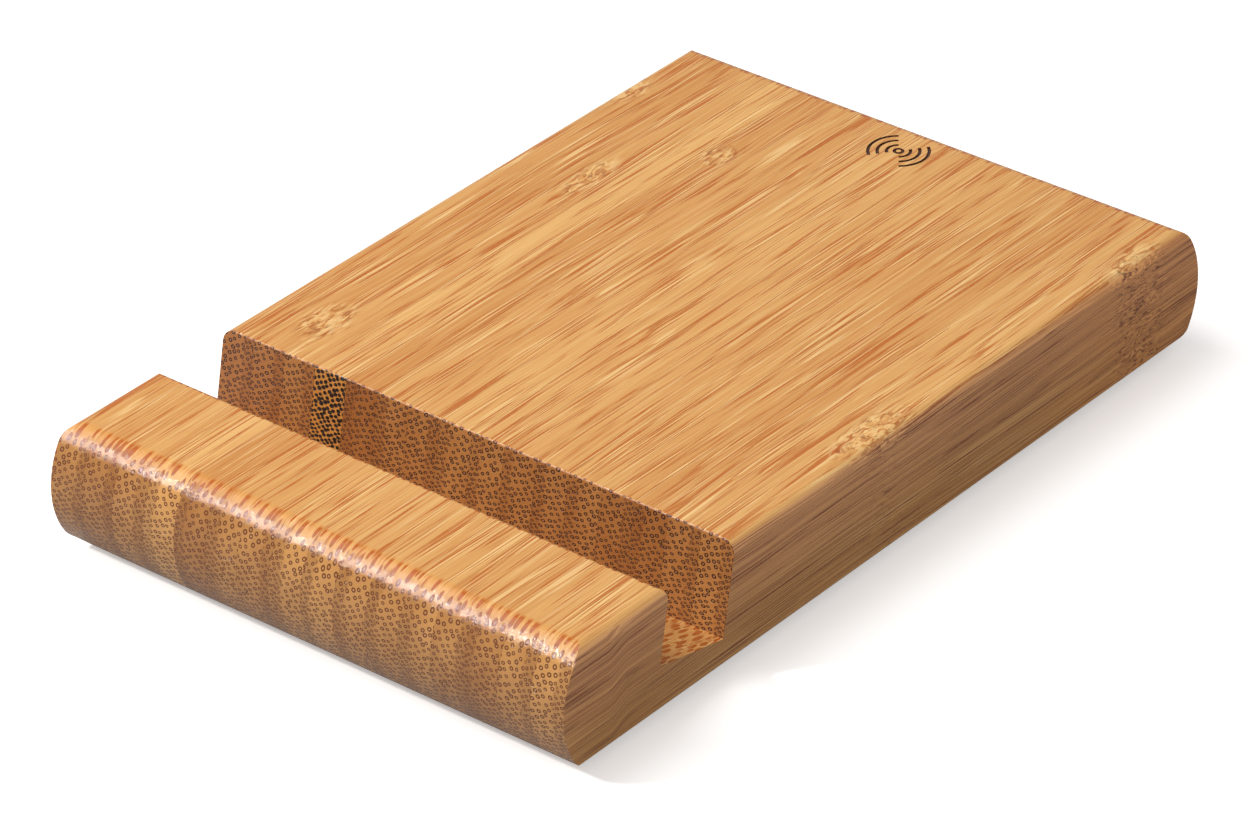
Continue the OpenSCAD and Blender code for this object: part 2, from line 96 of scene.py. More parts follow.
# each light: place from the model's centre, edge length in metres, watts and colour
LIGHTS = {
    "overhead_softbox": ((-0.38, -0.22, 1.00), 0.70, 5.7, (1.0, 0.985, 0.96)),
    "edge_softbox": ((-0.55, -0.64, 0.72), 0.10, 7.3, (1.0, 0.98, 0.95)),
    "side_softbox": ((0.88, 0.10, 0.18), 0.35, 1.5, (1.0, 0.985, 0.96)),
}
centre = (model_low + model_high) / 2
scene = bpy.context.scene
scene.view_settings.view_transform = "Standard"
scene.view_settings.look = "None"


def add_mesh(name, corners, faces):
    """A mesh object from an array of corners in metres and a list of faces."""
    mesh = bpy.data.meshes.new(name)
    mesh.from_pydata(np.asarray(corners, float).tolist(), [], faces)
    mesh.update()
    made = bpy.data.objects.new(name, mesh)
    scene.collection.objects.link(made)
    return made


def add_area_light(name, place, aim, size, power, colour):
    """A square area light at place, turned so that it shines at aim."""
    data = bpy.data.lights.new(name, "AREA")
    data.shape, data.size, data.energy, data.color = "SQUARE", size, power, colour
    lamp = bpy.data.objects.new(name, data)
    lamp.matrix_world = (Matrix.Translation(place)
                         @ (place - aim).to_track_quat("Z", "Y").to_matrix().to_4x4())
    scene.collection.objects.link(lamp)


floor = add_mesh("table_top", [(-FLOOR_HALF, -FLOOR_HALF, 0), (FLOOR_HALF, -FLOOR_HALF, 0),
                               (FLOOR_HALF, FLOOR_HALF, 0), (-FLOOR_HALF, FLOOR_HALF, 0)],
                 [(0, 1, 2, 3)])
for name, (offset, size, watts, colour) in LIGHTS.items():
    add_area_light(name, centre + Vector(offset), centre, size, watts, colour)
world = bpy.data.worlds.new("white_room")
world.use_nodes = True
room = world.node_tree.nodes["Background"].inputs
room["Color"].default_value = ROOM_COLOUR
room["Strength"].default_value = ROOM_STRENGTH
scene.world = world

# %% [markdown]
# ## Small helpers for node trees
# A node tree is a formula drawn as boxes. Written out with bpy it takes three lines for each box,
# so the helper below adds a box, sets its values and joins its inputs in one line. A plain number
# goes on the socket itself and anything else is linked.

# %% Node helper


class Boxes:
    """Adds nodes to one node tree. Each call returns the output socket that is used most."""

    def __init__(self, tree):
        self.tree = tree

    def add(self, kind, output=0, inputs=(), **settings):
        """A node of the kind ShaderNode + kind, its settings, and its inputs by name or number."""
        box = self.tree.nodes.new("ShaderNode" + kind)
        for name, value in settings.items():
            setattr(box, name, value)
        for key, value in dict(inputs).items():
            if isinstance(value, bpy.types.NodeSocket):
                self.tree.links.new(value, box.inputs[key])
            else:
                box.inputs[key].default_value = value
        return box.outputs[output]

    def sum(self, operation, a, b=0.0, c=0.0):
        """One step of arithmetic on numbers."""
        return self.add("Math", 0, {0: a, 1: b, 2: c}, operation=operation)

    def step(self, value, low, high):
        """Smooth rise from 0 at low to 1 at high. With low above high it falls instead."""
        return self.add("MapRange", 0, {0: value, 1: low, 2: high, 3: 0.0, 4: 1.0},
                        interpolation_type="SMOOTHSTEP", clamp=True)

    def between(self, value, low, high):
        """Straight line from low at 0 to high at 1."""
        return self.add("MapRange", 0, {0: value, 1: 0.0, 2: 1.0, 3: low, 4: high}, clamp=True)

    def mix(self, share, a, b):
        """Colour b laid over colour a by share."""
        return self.add("Mix", 2, {0: share, 6: a, 7: b}, data_type="RGBA")

    def times(self, first, *others):
        """The product of numbers."""
        for other in others:
            first = self.sum("MULTIPLY", first, other)
        return first

    def without(self, value):
        """One minus a share."""
        return self.sum("SUBTRACT", 1.0, value)

    def point(self, x, y, z):
        """Three numbers as one place."""
        return self.add("CombineXYZ", 0, {0: x, 1: y, 2: z})

    def split(self, value, kind="XYZ"):
        """The three numbers of a place, or of a colour when kind is Color."""
        box = self.tree.nodes.new("ShaderNodeSeparate" + kind)
        self.tree.links.new(value, box.inputs[0])
        return tuple(box.outputs)[:3]

    def noise(self, place, scale, detail=2.0, rough=0.5, twist=0.0):
        """Cloudy noise between 0 and 1."""
        return self.add("TexNoise", 0, {"Vector": place, "Scale": scale, "Detail": detail,
                                        "Roughness": rough, "Distortion": twist})


def new_group(name, inputs, outputs):
    """An empty shader node group with named sockets, as (kind, name, start value)."""
    tree = bpy.data.node_groups.new(name, "ShaderNodeTree")
    for way, sockets in (("INPUT", inputs), ("OUTPUT", outputs)):
        for kind, socket, start in sockets:
            made = tree.interface.new_socket(socket, in_out=way, socket_type="NodeSocket" + kind)
            if start is not None:
                made.default_value = start
    given = tree.nodes.new("NodeGroupInput").outputs
    wanted = tree.nodes.new("NodeGroupOutput").inputs
    return tree, Boxes(tree), given, wanted


def put(tree, value, socket):
    """Sets a group's output: links a socket, or writes a number."""
    if isinstance(value, bpy.types.NodeSocket):
        tree.links.new(value, socket)
    else:
        socket.default_value = value


def use_group(boxes, group, **values):
    """Places a group in a material and sets its inputs. Spaces in a name are written as _."""
    box = boxes.tree.nodes.new("ShaderNodeGroup")
    box.node_tree = group
    for key, value in values.items():
        name = key.replace("_", " ")
        if isinstance(value, bpy.types.NodeSocket):
            boxes.tree.links.new(value, box.inputs[name])
        else:
            box.inputs[name].default_value = value
    return box.outputs


def new_material(name):
    """A node material and its Principled shader, with Object coordinates ready to use."""
    material = bpy.data.materials.new(name)
    material.use_nodes = True
    boxes = Boxes(material.node_tree)
    shader = material.node_tree.nodes["Principled BSDF"].inputs
    place = boxes.add("TexCoord", "Object")
    return material, boxes, shader, place


def rgb(red, green, blue):
    """A colour as it looks on a screen (0 to 255), turned into the linear light a shader uses."""
    c = np.array([red, green, blue]) / 255.0
    linear = np.where(c <= 0.04045, c / 12.92, ((c + 0.055) / 1.055) ** 2.4)
    return (*linear.tolist(), 1.0)


# %% [markdown]
# ## Knots
# A bamboo stem is closed by a wall every few hand widths. Where a strip was cut across such a
# node, its fibres swerve round a small oval and the wood there is short and speckled. A knot could
# be painted as a decal, but bending the coordinates that the rest of the wood is drawn in makes
# every streak swerve by itself. The group below gives that bend and a soft mask.

# %% Knot group
BEND_MM = 0.9
BEND_LENGTH_SHARE = 0.16
knot_group, b, given, wanted = new_group(
    "bamboo knot",
    [("Float", "X", 0.0), ("Float", "Y", 0.0), ("Float", "Centre X", 0.0),
     ("Float", "Centre Y", 0.0), ("Float", "Half Width", 2.0), ("Float", "Half Length", 3.0)],
    [("Float", "Mask", None), ("Float", "Bend", None)])
across = b.sum("DIVIDE", b.sum("SUBTRACT", given["X"], given["Centre X"]), given["Half Width"])
along = b.sum("DIVIDE", b.sum("SUBTRACT", given["Y"], given["Centre Y"]), given["Half Length"])


def bell(length_share):
    """A bell over the knot. A smaller length_share makes it longer along the fibres."""
    squares = b.sum("ADD", b.times(across, across), b.times(along, along, length_share))
    return b.sum("POWER", math.e, b.times(squares, -1.0))


put(knot_group, bell(1.0), wanted["Mask"])
put(knot_group, b.times(across, bell(BEND_LENGTH_SHARE), -BEND_MM), wanted["Bend"])
print("knot group boxes:", len(knot_group.nodes))

# %% [markdown]
# ## Laminated bamboo as a solid
# Bamboo has no growth rings. It is pale ground tissue with thousands of stiff fibre bundles that
# run straight up the stem, small and crowded near its skin, larger and further apart inside. Each
# bundle is a brown sheath round paler vessels. So the wood is described in the round: a pattern of
# rings in width and height that is drawn out along the length. A cut across it shows rings, a cut
# along it shows streaks, and a rounded edge shows the long dots in between, all from one formula.
# The strips are 5 mm wide and stand on edge, each from another stem, so each has its own tone, its
# own seed, and its crowded side at random on the left or on the right.

# %% Sockets and axes of the bamboo group
STRIP_MM = 5.0
MM = 1000.0

bamboo_group, b, given, wanted = new_group(
    "laminated bamboo",
    [("Vector", "Place", None), ("Vector", "Facing", None)],
    [("Color", "Colour", None), ("Float", "Height", None), ("Float", "Roughness", None)])
x, y, z = b.split(b.add("VectorMath", 0, {0: given["Place"], 1: (MM, MM, MM)},
                        operation="MULTIPLY"))
facing_x, facing_y, _ = b.split(given["Facing"])
end_facing = b.sum("ABSOLUTE", facing_y)
end_grain = b.step(end_facing, 0.30, 0.85)
cut_across = b.step(end_facing, 0.02, 0.22)
side_facing = b.step(b.sum("ABSOLUTE", facing_x), 0.5, 0.9)
from_front = b.sum("SUBTRACT", y, MM * model_low.y)
depth = b.sum("SUBTRACT", MM * model_high.z, z)


def stretched(place, factors):
    """A place to look a noise up at: each of the three numbers times its own factor."""
    return b.point(*(b.times(value, factor) for value, factor in zip(place, factors)))


print("strips across the block:", (model_high.x - model_low.x) * MM / STRIP_MM)

# %% [markdown]
# Each strip has three random numbers of its own, from white noise on the strip's number. Two shift
# its patterns, so that no two strips look cut from one piece, and the third says which of its sides
# faced the skin. A list of seeds would do for these sixteen, but the noise fits any width.

# %% Strips
number = b.sum("FLOOR", b.sum("DIVIDE", x, STRIP_MM))
share = b.sum("FRACT", b.sum("DIVIDE", x, STRIP_MM))
strip_noise = b.add("TexWhiteNoise", "Color", {}, noise_dimensions="1D")
b.tree.links.new(number, strip_noise.node.inputs["W"])
seed_a, seed_b, seed_c = b.split(strip_noise, "Color")
flip = b.sum("GREATER_THAN", seed_c, 0.5)
skin_side = b.sum("ABSOLUTE", b.sum("SUBTRACT", flip, share))
glue = b.step(b.sum("ABSOLUTE", b.sum("SUBTRACT", share, 0.5)), 0.486, 0.498)
print("seed outputs:", seed_a.name, seed_b.name, seed_c.name)

# %% [markdown]
# Each knot is a centre, a half width and a half length in millimetres. The largest mask wins where
# two meet, and their bends add up.

# %% Knots in the block
KNOTS_MM = ((-18.4, 39.2, 1.7, 2.2), (-31.0, -22.6, 2.4, 3.6), (-28.2, 25.0, 1.5, 4.5),
            (37.6, -2.6, 2.0, 5.5), (40.6, 50.0, 3.0, 4.4), (-38.6, 46.0, 1.6, 3.0))
made = [use_group(b, knot_group, X=x, Y=y, Centre_X=centre_x, Centre_Y=centre_y,
                  Half_Width=half_width, Half_Length=half_length)
        for centre_x, centre_y, half_width, half_length in KNOTS_MM]
knot, bend = made[0]["Mask"], made[0]["Bend"]
for other in made[1:]:
    knot = b.sum("MAXIMUM", knot, other["Mask"])
    bend = b.sum("ADD", bend, other["Bend"])
print("knots:", len(made))

# %% [markdown]
# Fibres wander slowly from side to side and up and down, differently in each strip, and ruffle up
# at the knots. The front edge is sanded over, so bundles come out of the face there as long thin
# flames: the depth is counted more slowly near the top, as soft * depth / (soft + depth) is taken
# off it. Bending the real surface would be truer, but it would move an edge that is already right.
# Further down the depth is counted faster instead, so the bundles crowd there.

# %% Fibre coordinates
EDGE_SOFT_MM = 1.2
FLAMES_END_MM, FLAMES_FADE_MM = 12.0, 8.0
CROWDING_PER_MM = -0.018
strip_place = b.point(b.sum("MULTIPLY_ADD", x, 0.10, b.times(seed_a, 90.0)), b.times(y, 0.024),
                      b.sum("MULTIPLY_ADD", z, 0.10, b.times(seed_b, 90.0)))
drift = b.add("TexNoise", "Color", {"Scale": 1.0, "Detail": 1.5, "Vector": strip_place})
drift_x, drift_z, drift_skin = b.split(drift, "Color")
ruffle = b.noise(stretched((x, y, z), (0.9, 0.35, 0.9)), 1.0, 2.0)
ruffled = b.times(b.sum("SUBTRACT", ruffle, 0.5), b.times(knot, 3.2))
fibre_x = b.sum("ADD", x, b.sum("ADD", b.times(drift_x, 1.5), b.sum("ADD", bend, ruffled)))
taken = b.sum("DIVIDE", b.times(depth, EDGE_SOFT_MM), b.sum("ADD", depth, EDGE_SOFT_MM))
depth = b.sum("SUBTRACT", depth, b.times(taken, b.step(from_front, FLAMES_END_MM, FLAMES_FADE_MM)))
wander_z = b.sum("ADD", b.times(drift_z, 2.2), ruffled)
fibre_z = b.sum("ADD", b.sum("SUBTRACT", wander_z, depth), b.times(depth, depth, CROWDING_PER_MM))
bottom = MM * (model_high.z - model_low.z)
print(round(bottom, 1), "mm of depth count as", round(bottom - CROWDING_PER_MM * bottom ** 2, 1))

# %% [markdown]
# Seen from the end, a bundle is a ring. A Voronoi texture gives scattered cell centres, and the
# distance to the nearest one, compared with a reach, gives the ring and its pale middle. The grid
# under the cells is turned by about 30 degrees, so the rings stand in slanting rows and never in
# columns. Near its skin a strip has finer and closer rings than in its middle.

# %% Bundles seen from the end
TURN_COS, TURN_SIN = 0.86, 0.51
SCATTER = 0.42
fibre_high = b.times(fibre_z, 1.15)
grid_x = b.sum("ADD", b.times(fibre_x, TURN_COS), b.times(fibre_high, TURN_SIN))
grid_z = b.sum("SUBTRACT", b.times(fibre_high, TURN_COS), b.times(fibre_x, TURN_SIN))


def bundles(pitch, reach, seed):
    """Rings about one pitch apart: the brown sheath as a mask, the pale core as a mask, and the
    distance from the nearest centre as a share of that bundle's own size."""
    place = b.point(b.sum("ADD", grid_x, b.times(seed_a, seed)),
                    b.sum("ADD", grid_z, b.times(seed_b, seed)), 0.0)
    cell = b.add("TexVoronoi", "Distance", {}, voronoi_dimensions="2D")
    cell.node.inputs["Scale"].default_value = 1.0 / pitch
    cell.node.inputs["Randomness"].default_value = SCATTER
    b.tree.links.new(place, cell.node.inputs["Vector"])
    random_size = b.split(cell.node.outputs["Color"], "Color")[0]
    ratio = b.sum("DIVIDE", cell, b.times(reach, b.between(random_size, 0.80, 1.12)))
    return b.step(ratio, 1.12, 0.92), b.step(ratio, 0.58, 0.40), ratio


def blended(share, first, second):
    """First where share is 0, second where it is 1."""
    return b.add("Mix", 0, {0: share, 2: first, 3: second}, data_type="FLOAT")


wide_sheath, wide_core, _ = bundles(0.94, 0.315, 37.0)
fine_sheath, fine_core, fine_ratio = bundles(0.74, 0.330, 71.0)
crowded = b.step(b.sum("ADD", skin_side, b.times(drift_skin, 0.25)), 0.74, 0.94)
sheath = blended(crowded, wide_sheath, fine_sheath)
core = b.times(blended(crowded, wide_core, fine_core), b.step(end_facing, 0.55, 0.90), 0.85)
ring = b.times(sheath, b.without(core))
print("boxes so far:", len(bamboo_group.nodes))

# %% [markdown]
# Seen from above, a bundle is a sheaf of hair-thin lines, dark and bright side by side. The lines
# are noise that is squeezed across the grain and drawn out along it, and a slower noise gathers
# them into sheaves. The long sides have coarser lines from a noise of their own, squeezed in height
# so that they lie in rows one above another.

# %% Bundles seen from the side
SIDE_GATHERED = 0.50
top_lines = b.noise(stretched((fibre_x, y, fibre_z), (5.3, 0.050, 2.6)), 1.0, 1.0, 0.5)
side_lines = b.noise(stretched((fibre_x, y, fibre_z), (1.5, 0.022, 5.2)), 1.0, 1.5, 0.6)
lines = blended(side_facing, top_lines, side_lines)
sheaf = b.noise(b.point(b.sum("MULTIPLY_ADD", fibre_x, 0.95, b.times(seed_a, 40.0)),
                        b.times(y, 0.055), b.times(fibre_z, 0.9)), 1.0, 2.5, 0.6)
gathered = b.sum("MAXIMUM", b.step(sheaf, 0.45, 0.59), b.times(side_facing, SIDE_GATHERED))
beads = b.noise(stretched((x, y, z), (5.0, 1.6, 5.0)), 1.0, 1.0)
dark_line = b.times(b.step(lines, 0.505, 0.54), b.between(gathered, 0.14, 1.0),
                    b.between(beads, 0.65, 1.0))
dark_line = b.sum("MAXIMUM", dark_line, b.times(sheath, b.times(gathered, 0.34)))
bright_line = b.times(b.step(lines, 0.46, 0.41), b.between(gathered, 0.20, 1.0))
streak = b.times(dark_line, b.step(end_facing, 0.60, 0.15))
bundle = b.sum("MAXIMUM", streak, b.times(ring, cut_across))
grit = b.noise(stretched((x, y, z), (4.4, 4.4, 4.4)), 1.0, 2.0, 0.6)
tissue = b.noise(stretched((x, y, z), (9.0, 0.8, 9.0)), 1.0, 2.0)
print("boxes so far:", len(bamboo_group.nodes))

# %% [markdown]
# The colour starts from a tone for each strip with slow changes of tone along it. Ends are browner
# than the face, because open pores drink the lacquer. The long sides get painted light and shade:
# paler towards the top and warmer and brighter towards the back as painted light, and darker and
# redder overall as painted shade. The bundles are laid over all of that.

# %% Ground and bundles in colour
STRIP_TONES = (0.36, 0.30, 0.46, 0.74, 0.24, 0.46, 0.44, 0.60, 0.62, 0.50, 0.48, 0.52, 0.40,
               0.30, 0.52, 0.64)
DARK_STRIP, PALE_STRIP = rgb(200, 134, 64), rgb(236, 188, 116)
DARK_END, PALE_END, CROWDED_END = rgb(146, 88, 38), rgb(226, 166, 96), rgb(118, 66, 26)
BRIGHT_FIBRE, TISSUE = rgb(250, 216, 152), rgb(176, 104, 42)
TOP_FIBRE, SIDE_FIBRE, END_FIBRE = rgb(182, 90, 6), rgb(112, 46, 12), rgb(104, 44, 8)
ROUNDED_EDGE = rgb(226, 152, 66)
# painted light and shade for the long sides: a paler top, a darker redder tint all over, a warmer
# brighter back
SIDE_TOP_PAINTED_LIGHT, SIDE_PAINTED_SHADE, SIDE_BACK_PAINTED_LIGHT = rgb(238, 178, 118), rgb(206, 132, 74), rgb(246, 166, 94)

tone_ramp = b.tree.nodes.new("ShaderNodeValToRGB")
tone_ramp.color_ramp.interpolation = "CONSTANT"
stops = tone_ramp.color_ramp.elements
for n, tone in enumerate(STRIP_TONES):
    stop = stops[n] if n < 2 else stops.new(n / len(STRIP_TONES))
    stop.position = n / len(STRIP_TONES)
    stop.color = (tone, tone, tone, 1)
b.tree.links.new(b.sum("MULTIPLY_ADD", x, 1 / (STRIP_MM * len(STRIP_TONES)), 0.5),
                 tone_ramp.inputs[0])
shade = b.noise(b.point(b.sum("MULTIPLY_ADD", x, 0.35, b.times(seed_b, 60.0)),
                        b.times(y, 0.02), b.times(z, 0.2)), 1.0, 1.0)
tone = b.sum("ADD", tone_ramp.outputs[0], b.times(b.sum("SUBTRACT", shade, 0.5), 0.5))
tone = b.between(tone, 0.0, 1.0)

ground = b.mix(tone, DARK_STRIP, PALE_STRIP)
ground = b.mix(b.times(bright_line, b.between(end_grain, 0.62, 0.0)), ground, BRIGHT_FIBRE)
ground = b.mix(b.between(tissue, 0.0, 0.20), ground, TISSUE)
ground = b.mix(b.times(cut_across, b.without(end_grain), 0.30), ground, ROUNDED_EDGE)
# painted light and shade on the long sides: paler near the top and brighter towards the back, darker
# and redder overall
ground = b.mix(b.times(side_facing, b.step(depth, 13.0, 2.0)), ground, SIDE_TOP_PAINTED_LIGHT)
ground = b.mix(b.times(side_facing, 0.25), ground, SIDE_PAINTED_SHADE)
ground = b.mix(b.times(side_facing, b.step(from_front, 84.0, 118.0), 0.55), ground, SIDE_BACK_PAINTED_LIGHT)
end_ground = b.mix(b.times(crowded, 0.35), b.mix(tone, DARK_END, PALE_END), CROWDED_END)
ground = b.mix(b.times(end_grain, 0.85), ground, end_ground)
fibre = b.mix(end_grain, b.mix(side_facing, TOP_FIBRE, SIDE_FIBRE), END_FIBRE)
wood = b.mix(bundle, ground, fibre)
print("strip tones:", len(STRIP_TONES))

# %% [markdown]
# The slot's walls are sawn and not sanded, so they are duller. Their ground and rings are painted
# darker as painted shade in the slot's recess. One strip was cut from low in the stem: its vessels
# are wide and stand open in the slot, and their holes are painted near black as painted shade.

# %% Slot walls
SLOT_START_MM, SLOT_END_MM = 13.0, 46.0
OPEN_STRIP = -5
in_slot = b.times(end_grain, b.times(b.step(from_front, SLOT_START_MM, SLOT_START_MM + 1.0),
                                     b.step(from_front, SLOT_END_MM, SLOT_END_MM - 2.0)))
# painted shade in the slot's recess: a darker ground with darker rings on its walls
slot_painted_shade = b.mix(bundle, rgb(160, 82, 22), rgb(38, 12, 2))
wood = b.mix(b.times(in_slot, b.between(bundle, 0.42, 0.88)), wood, slot_painted_shade)
open_strip = b.times(b.sum("COMPARE", number, OPEN_STRIP, 0.1), in_slot)
wood = b.mix(b.times(open_strip, 0.7), wood, rgb(214, 142, 58))
# painted shade: the holes of the open vessels, painted near black
wood = b.mix(b.times(open_strip, b.step(fine_ratio, 1.42, 1.24)), wood, rgb(26, 12, 6))
print("open strip starts at x in mm:", OPEN_STRIP * STRIP_MM)

# %% [markdown]
# At a knot the fibres lie in long thin loops, dark beside bright, with short dark flecks and a
# slightly paler middle. The loops are contour lines of a stretched noise. On the long side a node
# shows as flecks only. Last come the thin dark glue lines between the strips.

# %% Knots and glue in colour
flecks = b.noise(stretched((x, y, z), (1.6, 0.9, 1.6)), 1.0, 2.5, 0.6, 0.6)
fleck = b.times(b.step(flecks, 0.55, 0.64), b.step(knot, 0.10, 0.5))
contours = b.noise(stretched((fibre_x, y, fibre_z), (0.85, 0.13, 0.8)), 1.0, 1.0)
loops = b.sum("ABSOLUTE", b.sum("SUBTRACT", b.sum("FRACT", b.times(contours, 4.5)), 0.5))
not_side = b.without(side_facing)
round_knot = b.times(b.step(knot, 0.05, 0.35), not_side)
crease = b.times(b.step(loops, 0.16, 0.06), b.times(round_knot, b.between(beads, 0.45, 1.0)))
gleam = b.times(b.step(loops, 0.30, 0.40), round_knot)
wood = b.mix(b.times(b.step(knot, 0.40, 0.85), not_side, 0.25), wood, rgb(240, 186, 112))
wood = b.mix(b.times(fleck, b.between(side_facing, 0.45, 0.85)), wood, rgb(104, 48, 14))
wood = b.mix(b.times(crease, 0.80), wood, rgb(160, 78, 16))
wood = b.mix(b.times(gleam, 0.40), wood, BRIGHT_FIBRE)
wood = b.mix(b.times(glue, 0.32), wood, rgb(120, 66, 28))
put(bamboo_group, wood, wanted["Colour"])
print("boxes so far:", len(bamboo_group.nodes))

# %% [markdown]
# Lacquer sinks into the bundles and stands on the tissue between them, so the bundles are low and
# a little rough. Ends and rounded edges are polished. Their fine grit breaks the bright line on
# the front edge. The sawn slot and the long sides stay duller.

# %% Relief and roughness
SMOOTH, DULL = 0.10, 0.34
GRIT_HEIGHT, POLISHED_SHARE, UNSANDED = 1.7, 0.5, 0.35
relief = b.sum("SUBTRACT", b.times(grit, cut_across, GRIT_HEIGHT), bundle)
put(bamboo_group, relief, wanted["Height"])
rough = b.between(b.sum("ADD", b.times(bundle, 0.5), b.times(tissue, 0.5)), SMOOTH, DULL)
rough = b.times(rough, b.between(cut_across, 1.0, POLISHED_SHARE))
rough = b.sum("ADD", rough, b.times(b.sum("ADD", in_slot, side_facing), UNSANDED))
put(bamboo_group, rough, wanted["Roughness"])
print("bamboo group boxes:", len(bamboo_group.nodes))

# %% [markdown]
# ## The block's finish
# The engraved symbol is a real groove, burnt by a laser, so its floor and walls are charred. The
# groove is the only surface that lies just under the charging face, and a mask by height finds it.
# The wood is lacquered, so its shine is stronger than bare wood's. The lacquer could be a second
# coat layer, but a coat stays smooth, and here it sinks into every pore and sparkles with them.

# %% Block material
ENGRAVED_MM = (-0.9, 54.3)
BURNT_RADIUS, BURNT_FADE = 0.0046, 0.0002
PORE_DEPTH, LACQUER_SHINE = 0.00006, 0.62
GROOVE_TOP, GROOVE_DEEP = 0.00001, 0.0001
face_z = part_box("bamboo_body")[1].z
block_finish, b, shader, place = new_material("lacquered_bamboo")
bamboo = use_group(b, bamboo_group, Place=place, Facing=b.add("TexCoord", "Normal"))
apart = b.add("VectorMath", "Value", {
    0: b.add("VectorMath", 0, {0: place, 1: (1, 1, 0)}, operation="MULTIPLY"),
    1: (ENGRAVED_MM[0] / MM, ENGRAVED_MM[1] / MM, 0)}, operation="DISTANCE")
burnt = b.times(b.step(b.split(place)[2], face_z - GROOVE_TOP, face_z - GROOVE_DEEP),
                b.step(apart, BURNT_RADIUS + BURNT_FADE, BURNT_RADIUS))
char = b.mix(b.noise(place, 3000.0), rgb(90, 50, 30), rgb(58, 32, 20))
b.tree.links.new(b.mix(burnt, bamboo["Colour"], char), shader["Base Color"])
b.tree.links.new(b.sum("ADD", bamboo["Roughness"], b.times(burnt, 0.25)), shader["Roughness"])
b.tree.links.new(b.add("Bump", 0, {"Height": bamboo["Height"], "Strength": 0.6,
                                   "Distance": PORE_DEPTH}), shader["Normal"])
shader["Specular IOR Level"].default_value = LACQUER_SHINE


def finish_node(name, material):
    """Gives a carried-over piece its material in every slot."""
    mesh = nodes[name].data
    mesh.materials.clear()
    mesh.materials.append(material)


finish_node("bamboo_body", block_finish)
print("charging face in mm:", round(MM * face_z, 2))

# %% [markdown]
# ## Moulded plastic and rubber
# Moulds for hidden plastic are spark eroded, which leaves a fine even grain that breaks up the
# shine. One group gives that grain as a height, a slight mottle of the colour and an uneven
# roughness. Each plastic piece, the feet and the chips place it with values of their own.

# %% Moulded grain group
grain_group, b, given, wanted = new_group(
    "moulded grain",
    [("Vector", "Place", None), ("Float", "Grain Size", 0.0003), ("Color", "Base", (0, 0, 0, 1)),
     ("Color", "Worn", (0, 0, 0, 1)), ("Float", "Roughness", 0.5)],
    [("Color", "Colour", None), ("Float", "Height", None), ("Float", "Roughness", None)])
fineness = b.sum("DIVIDE", 1.0, given["Grain Size"])
grain = b.noise(given["Place"], 1.0, 2.0, 0.55)
b.tree.links.new(fineness, grain.node.inputs["Scale"])
cloud = b.noise(given["Place"], 130.0, 3.0, 0.6)
rub = b.times(b.step(cloud, 0.50, 0.72), 0.55)
put(grain_group, b.mix(b.sum("ADD", rub, b.times(grain, 0.25)), given["Base"], given["Worn"]),
    wanted["Colour"])
put(grain_group, grain, wanted["Height"])
uneven = b.times(b.sum("SUBTRACT", cloud, 0.5), 0.35)
put(grain_group, b.sum("ADD", given["Roughness"], uneven), wanted["Roughness"])
print("moulded grain boxes:", len(grain_group.nodes))


# %% [markdown]
# Each entry of the table below is one finish for one or more nodes. The chips have the finest grain
# and the feet the deepest. The light pipe is the one clear piece, so it lets most light through.

# %% Moulded finishes


def moulded(name, base, worn, roughness, grain_mm, depth_mm, **sockets):
    """A grained material: base colour, rubbed colour, roughness, and the grain's size and depth."""
    material, b, shader, place = new_material(name)
    made = use_group(b, grain_group, Place=place, Grain_Size=grain_mm / MM, Base=base,
                     Worn=worn, Roughness=roughness)
    b.tree.links.new(made["Colour"], shader["Base Color"])
    b.tree.links.new(made["Roughness"], shader["Roughness"])
    b.tree.links.new(b.add("Bump", 0, {"Height": made["Height"], "Strength": 0.6,
                                       "Distance": depth_mm / MM}), shader["Normal"])
    for key, value in sockets.items():
        shader[key.replace("_", " ")].default_value = value
    return material


FINISHES = {
    ("base_cover",): moulded("cover_plastic", rgb(48, 48, 50), rgb(70, 70, 72), 0.55, 0.35, 0.05),
    ("port_frame",): moulded("frame_plastic", rgb(44, 44, 47), rgb(66, 66, 70), 0.42, 0.25, 0.02),
    ("usb_tongue",): moulded("tongue_plastic", rgb(30, 30, 33), rgb(52, 52, 55), 0.5, 0.2, 0.01),
    ("foot_front_left", "foot_front_right", "foot_rear_left", "foot_rear_right"):
        moulded("foot_rubber", rgb(50, 50, 51), rgb(92, 90, 87), 0.82, 0.45, 0.06),
    ("controller_chip", "regulator_chip", "bridge_transistors", "sense_resistor",
     "temperature_probe"):
        moulded("chip_epoxy", rgb(40, 41, 44), rgb(66, 67, 70), 0.6, 0.12, 0.01),
    ("ferrite_shield",): moulded("ferrite", rgb(78, 78, 82), rgb(104, 103, 106), 0.7, 0.3, 0.02),
    ("coil_tape",): moulded("adhesive_film", rgb(226, 219, 196), rgb(238, 234, 220), 0.45, 0.8,
                            0.01),
    ("status_led",): moulded("led_resin", rgb(236, 232, 206), rgb(246, 244, 232), 0.35, 0.4, 0.01),
    ("light_pipe",): moulded("clear_plastic", rgb(226, 236, 240), rgb(214, 226, 232), 0.16, 0.9,
                             0.004, Transmission_Weight=0.85, IOR=1.49),
    ("probe_leads",): moulded("lead_insulation", rgb(176, 44, 32), rgb(196, 74, 58), 0.4, 0.4,
                              0.005),
}
for names, material in FINISHES.items():
    for name in names:
        finish_node(name, material)
print("moulded finishes:", len(FINISHES))

# %% [markdown]
# ## Metal
# Plated screws and the socket's steel are drawn or turned, so fine lines run one way and soften
# the reflection across them. The line group squeezes a noise along one axis and gives the lines as
# a height and as an uneven roughness, with a soft tarnish in the colour.

